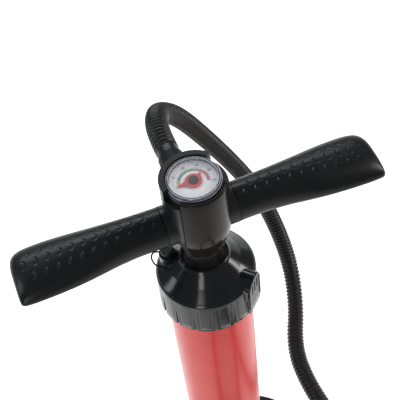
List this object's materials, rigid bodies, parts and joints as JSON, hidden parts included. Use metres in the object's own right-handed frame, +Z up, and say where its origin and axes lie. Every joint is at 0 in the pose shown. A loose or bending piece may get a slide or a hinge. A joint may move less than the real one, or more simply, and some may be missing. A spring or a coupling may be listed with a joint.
{
  "type": "manual inflation pump",
  "caption": "Upright hand pump with a T-handle, a built-in pressure gauge, a red barrel on a foot plate and a corrugated hose with a bayonet nozzle.",
  "frame": {"origin": "on the floor, under the centre of the barrel", "axes": "+Z up along the pump rod, +X along the right grip as the user stands, +Y to the back, where the hose leaves the hub"},
  "size_m": [0.3815, 0.6705, 0.618],
  "materials": {
    "gloss_black": "high gloss moulded plastic",
    "satin_black": "satin moulded plastic",
    "grip_black": "satin moulded plastic with a soft sheen",
    "red_barrel": "glossy translucent red plastic",
    "hose_black": "corrugated black hose",
    "cuff_black": "matte black rubber",
    "rubber_black": "black rubber",
    "strap_black": "woven hook-and-loop strap",
    "bush_black": "plain bearing plastic",
    "nozzle_grey": "satin grey plastic",
    "aluminium": "drawn tube",
    "steel": "plated screws",
    "brass": "turned brass",
    "dial_white": "white printed dial",
    "bezel_silver": "thin bright ring",
    "clear_lens": "clear moulded lens",
    "needle_red": "red moulded needle"
  },
  "bodies": {
    "barrel": {"base_plate": "satin_black", "base_feet": "rubber_black", "foot_tread_left": "rubber_black", "foot_tread_right": "rubber_black", "base_screws": "steel", "bottom_cap": "satin_black", "barrel_tube": "red_barrel", "bottom_seal": "rubber_black", "top_seal": "rubber_black", "top_cap": "gloss_black", "intake_grille": "satin_black", "rod_bush": "bush_black", "rod_seal": "rubber_black", "plug_tether": "rubber_black", "hose_coil": "hose_black", "hose_tie": "strap_black", "nozzle_body": "satin_black", "nozzle_collar": "nozzle_grey", "nozzle_seal": "rubber_black"},
    "handle": {"piston": "satin_black", "piston_ring": "rubber_black", "pump_rod": "aluminium", "piston_pin": "steel", "gauge_housing": "satin_black", "hub_front_cover": "gloss_black", "grip_left": "grip_black", "grip_right": "grip_black", "handle_core_left": "aluminium", "handle_core_right": "aluminium", "grip_screws": "steel", "gauge_case": "satin_black", "gauge_stem": "brass", "gauge_seal": "rubber_black", "bourdon_tube": "brass", "gauge_movement": "brass", "dial_plate": "dial_white", "gauge_bezel": "bezel_silver", "gauge_lens": "clear_lens", "hose_port": "satin_black", "hose_nut": "satin_black", "hose_cuff": "cuff_black", "hose_seal": "rubber_black", "hose_tube": "hose_black"},
    "needle": {"gauge_needle": "needle_red", "needle_spindle": "brass", "needle_cap": "bush_black"},
    "plug": {"mode_plug": "satin_black"},
    "intake_flap": {"intake_valve": "rubber_black"},
    "piston_flap": {"piston_valve": "rubber_black"}
  },
  "joints": [
    {"name": "handle_lift", "type": "slide", "parent": "barrel", "child": "handle", "axis": [0, 0, 1], "range_m": [0, 0.37]},
    {"name": "needle_turn", "type": "hinge", "parent": "handle", "child": "needle", "pos_m": [0, 0, 0.612], "axis": [0, 0, -1], "range_deg": [0, 204], "stiffness_Nm_per_rad": 0.0005},
    {"name": "plug_lift", "type": "slide", "parent": "barrel", "child": "plug", "axis": [0, 0, 1], "range_m": [0, 0.015]},
    {"name": "intake_valve_lift", "type": "slide", "parent": "barrel", "child": "intake_flap", "axis": [0.6947, -0.7193, 0], "range_m": [0, 0.002], "stiffness_N_per_m": 20},
    {"name": "piston_valve_lift", "type": "slide", "parent": "handle", "child": "piston_flap", "axis": [0, 0, 1], "range_m": [0, 0.002]}
  ]
}
